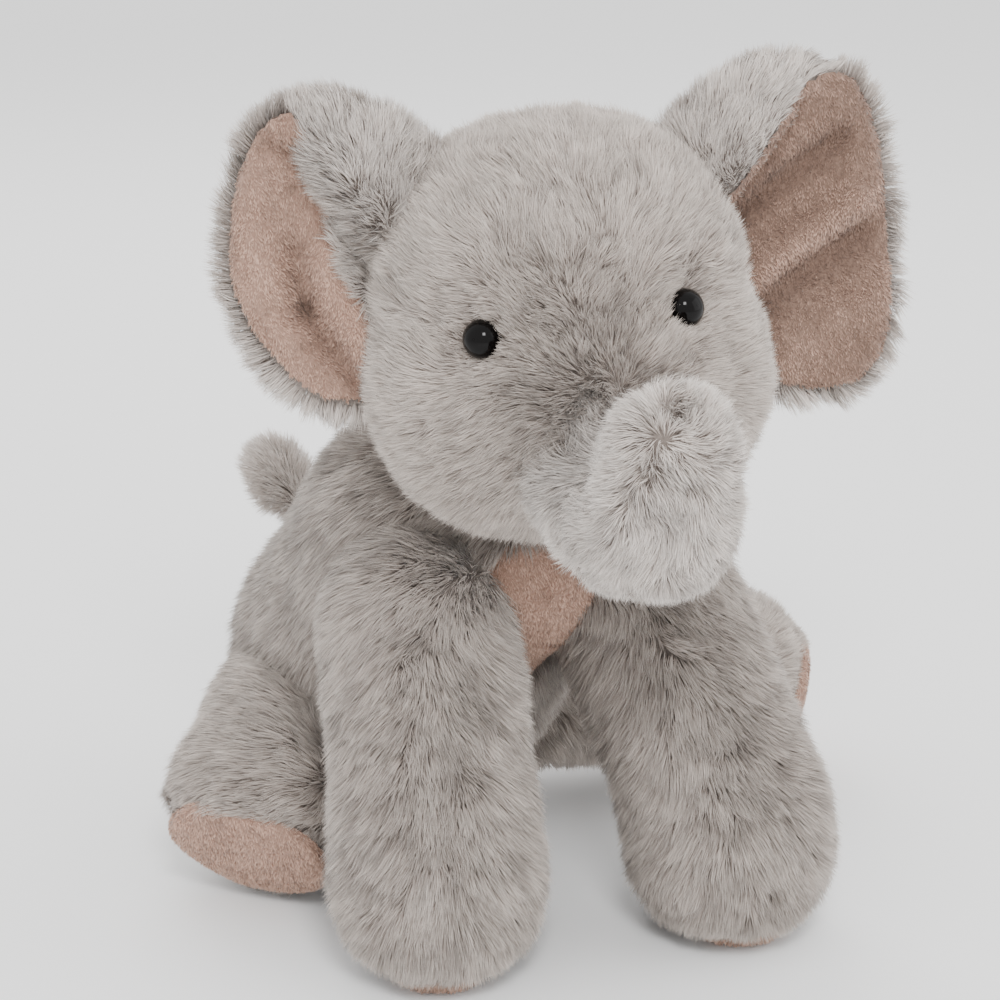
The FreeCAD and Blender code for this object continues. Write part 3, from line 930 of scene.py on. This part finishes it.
def ear_shell(name):
    """A thin closed pad in the ear's outline: rings from its middle to its edge, front and back."""
    edge = smooth_loop(EAR_EDGE[name])
    n, rings = len(edge), 20
    middle = np.array([SIDES[name] * 67.0, 22.0])
    front, back = [], []
    for j in range(rings + 1):
        t = j / rings
        ring = middle + (edge - middle) * t
        y = ear_depth(ring, name)
        thick = 3.0 * math.sqrt(max(0.0, 1 - t ** 6)) + 0.3
        front.append(np.stack([ring[:, 0], y - thick, ring[:, 1]], axis=1))
        back.append(np.stack([ring[:, 0], y + thick, ring[:, 1]], axis=1))
    i = np.arange(n)
    k = (i + 1) % n
    faces = []
    for j in range(rings):
        quad = np.stack([j * n + i, j * n + k, (j + 1) * n + k, (j + 1) * n + i], axis=1)
        faces += [quad, quad[:, ::-1] + (rings + 1) * n]
    a, b = rings * n + i, rings * n + k
    faces.append(np.stack([a, b, b + (rings + 1) * n, a + (rings + 1) * n], axis=1))
    faces = np.concatenate(faces)
    if SIDES[name] < 0:
        faces = faces[:, ::-1]
    triangles = np.concatenate([faces[:, [0, 1, 2]], faces[:, [0, 2, 3]]])
    return head_to_row(np.concatenate(front + back)), triangles


def make_ear(name):
    side = SIDES[name]
    body = "ear_" + name
    rolls = [head_chain(inset(roll, 3.2), 2.0) for roll in EAR_ROLLS[name]]
    skin = soft_form("ear_skin_" + name, rolls, voxel=1.5, smooth=4, more=[ear_shell(name)])
    plump(skin, 1.0)
    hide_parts("ear_back_" + name)
    bend = ("head", body, head_to_row([side * 46, 10, 12]), head_to_row([side * 60, 10, 12]))
    settle(skin, body, bend)
    lining = smooth_loop(EAR_LINING[name], 60)

    def lined(p, n):
        """True on the beige lining: the front, inside the pile rim."""
        return inside_loop(row_to_head(p)[:, [0, 2]], lining) & ((n @ HEAD_R)[:, 1] < -0.05)

    # The left ear's panel takes the darker velour: painted shade.
    panel = patch("ear_velour_" + name, skin, lined, 0.5, M_BEIGE_SHADED if side > 0 else M_BEIGE)
    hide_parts("ear_lining_" + name)
    settle(panel, body, bend)

    def shadow(root, n):
        """The nap lies darker in the folds and lighter on the ridges."""
        q = row_to_head(root)[:, [0, 2]]
        dark = EAR_DARK[name] + 0.20 * (noise(root, 16, 38 + side) - 0.5)
        for a, b, high, wide in EAR_FOLDS[name]:
            dark = dark + 0.10 * high * np.exp(-(segment_gap(q, a, b) / wide) ** 2)
        return dark

    nap("ear_nap_" + name, panel, body, bend, tone=shadow)

    def comb(root, n):
        way = row_to_head(root) - [side * 44.0, 10.0, 16.0]
        way[:, 1] *= 0.2
        return unit(way) @ HEAD_R.T, 0.52

    def keep(root, n):
        buried = np.linalg.norm(row_to_head(root), axis=1) < 43
        return np.where(lined(root, n) | buried, 0.0, 1.0)

    def tone(root, n):
        return 0.16 + 0.16 * (noise(root, 14, 28 + side) - 0.5)

    def length(root, n):
        """Shorter along the turned edge of the left ear, where the lining shows past it."""
        hem = segment_gap(row_to_head(root)[:, [0, 2]], (42, 28), (74, 60))
        return 9.6 - 6.0 * (side > 0) * np.exp(-(hem / 6) ** 2)

    grow("ear_pile_" + name, skin, body, comb, length=length, mat=M_PALE, keep=keep, tone=tone, bend=bend,
         tuft_pull=0.25, wander=0.5)


# ---------------------------------------------------------------- stage

def look_at(obj, target):
    way = Vector(target) - obj.location
    obj.rotation_euler = way.to_track_quat("-Z", "Y").to_euler()


# Name, place in metres, power in watts, side in metres.
LAMPS = (("key", (-0.26, -0.95, 0.95), 10, 0.3), ("fill", (0.9, -0.6, 0.5), 3, 0.9),
         ("back", (0.1, 0.8, 0.9), 5, 0.8))
SKY = 1.5               # strength of the white surroundings
FLOOR_HALF = 3000       # half the floor's side


def make_stage():
    corners = [(x * FLOOR_HALF, y * FLOOR_HALF, 0) for x, y in ((-1, -1), (1, -1), (1, 1), (-1, 1))]
    floor = new_mesh("floor", corners, [[0, 1, 2, 3]], floor_material())
    world = bpy.data.worlds.new("studio")
    bpy.context.scene.world = world
    world.use_nodes = True
    world.node_tree.nodes["Background"].inputs["Color"].default_value = (1, 1, 1, 1)
    world.node_tree.nodes["Background"].inputs["Strength"].default_value = SKY
    for name, place, power, size in LAMPS:
        data = bpy.data.lights.new(name, "AREA")
        data.energy = power
        data.size = size
        lamp = bpy.data.objects.new(name, data)
        lamp.location = place
        bpy.context.collection.objects.link(lamp)
        look_at(lamp, (0, -0.04, 0.1))


def make_camera():
    azimuth, elevation, distance = math.radians(-22), math.radians(18), 0.8
    target = Vector((0, -0.05, 0.11))
    away = Vector((math.sin(azimuth) * math.cos(elevation), -math.cos(azimuth) * math.cos(elevation),
                   math.sin(elevation)))
    data = bpy.data.cameras.new("camera")
    data.sensor_width = 36.0
    data.lens = 103.7
    data.shift_x = -0.013
    data.shift_y = 0.020
    camera = bpy.data.objects.new("camera", data)
    camera.location = target + away * distance
    bpy.context.collection.objects.link(camera)
    look_at(camera, target)
    bpy.context.scene.camera = camera


make_camera()
make_stage()
make_head()
make_trunk()
make_eyes()
make_torso()
for side_name in SIDES:
    make_foreleg(side_name)
    make_hindleg(side_name)
    make_ear(side_name)
make_tail()
